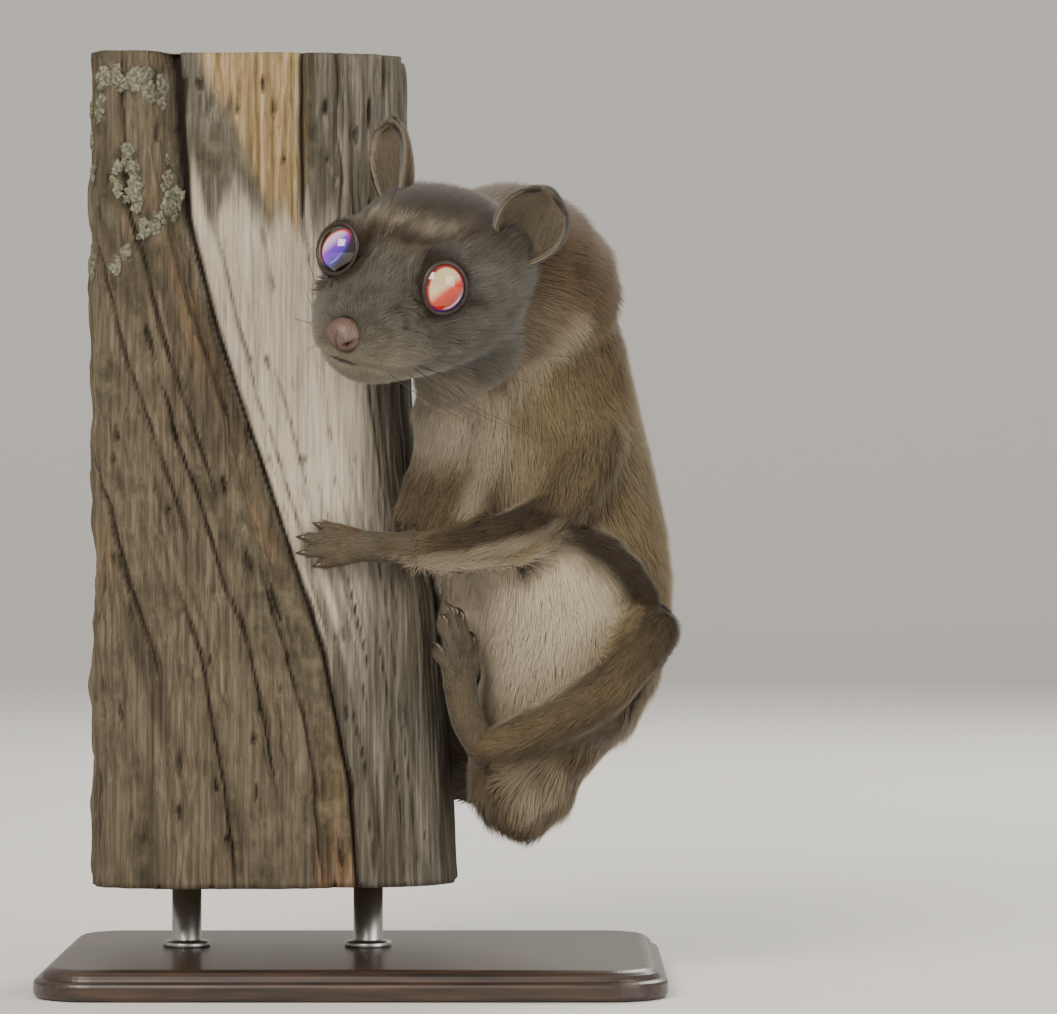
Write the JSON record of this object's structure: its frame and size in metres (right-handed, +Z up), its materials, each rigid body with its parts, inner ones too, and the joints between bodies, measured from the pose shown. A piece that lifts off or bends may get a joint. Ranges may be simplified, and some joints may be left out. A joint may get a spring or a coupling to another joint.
{
  "type": "flying squirrel model",
  "caption": "Life-size still model of a flying squirrel clinging upright to a cut length of weathered log on a plain stand.",
  "frame": {"origin": "centre of the stand base's underside, on the surface that it rests on", "axes": "+Z up along the log, -Y towards the viewer of the squirrel's face and left side, +X towards the squirrel's back"},
  "size_m": [0.1275, 0.1056, 0.186],
  "materials": {
    "fur_grey": "short soft grey fur",
    "fur_brown": "soft grey-brown fur, pale cream on the belly",
    "fur_dark": "short dark grey-brown fur",
    "ear_skin": "thin bare skin with fine down",
    "nose_skin": "bare moist skin",
    "eye": "dark polished glass with a warm glow behind the pupil",
    "weathered_wood": "grey weathered dead wood, split and cracked",
    "base_wood": "dark stained, satin lacquer",
    "rod_steel": "brushed"
  },
  "bodies": {
    "root": {"log": "weathered_wood", "head": "fur_grey", "torso": "fur_brown", "neck": "fur_grey", "nose": "nose_skin", "eye_left": "eye", "ear_left": "ear_skin", "eye_right": "eye", "ear_right": "ear_skin", "upper_arm_left": "fur_dark", "upper_arm_right": "fur_dark", "thigh_left": "fur_dark", "thigh_right": "fur_dark", "forearm_left": "fur_dark", "forearm_right": "fur_dark", "shin_left": "fur_dark", "shin_right": "fur_dark", "hand_left": "fur_dark", "hand_right": "fur_dark", "foot_left": "fur_dark", "foot_right": "fur_dark", "propatagium_left": "fur_brown", "patagium_left": "fur_dark", "patagium_right": "fur_dark", "tail_root": "fur_brown", "tail_middle": "fur_brown", "tail_tip": "fur_brown", "stand_base": "base_wood", "stand_rod_1": "rod_steel", "stand_rod_2": "rod_steel"}
  },
  "joints": []
}
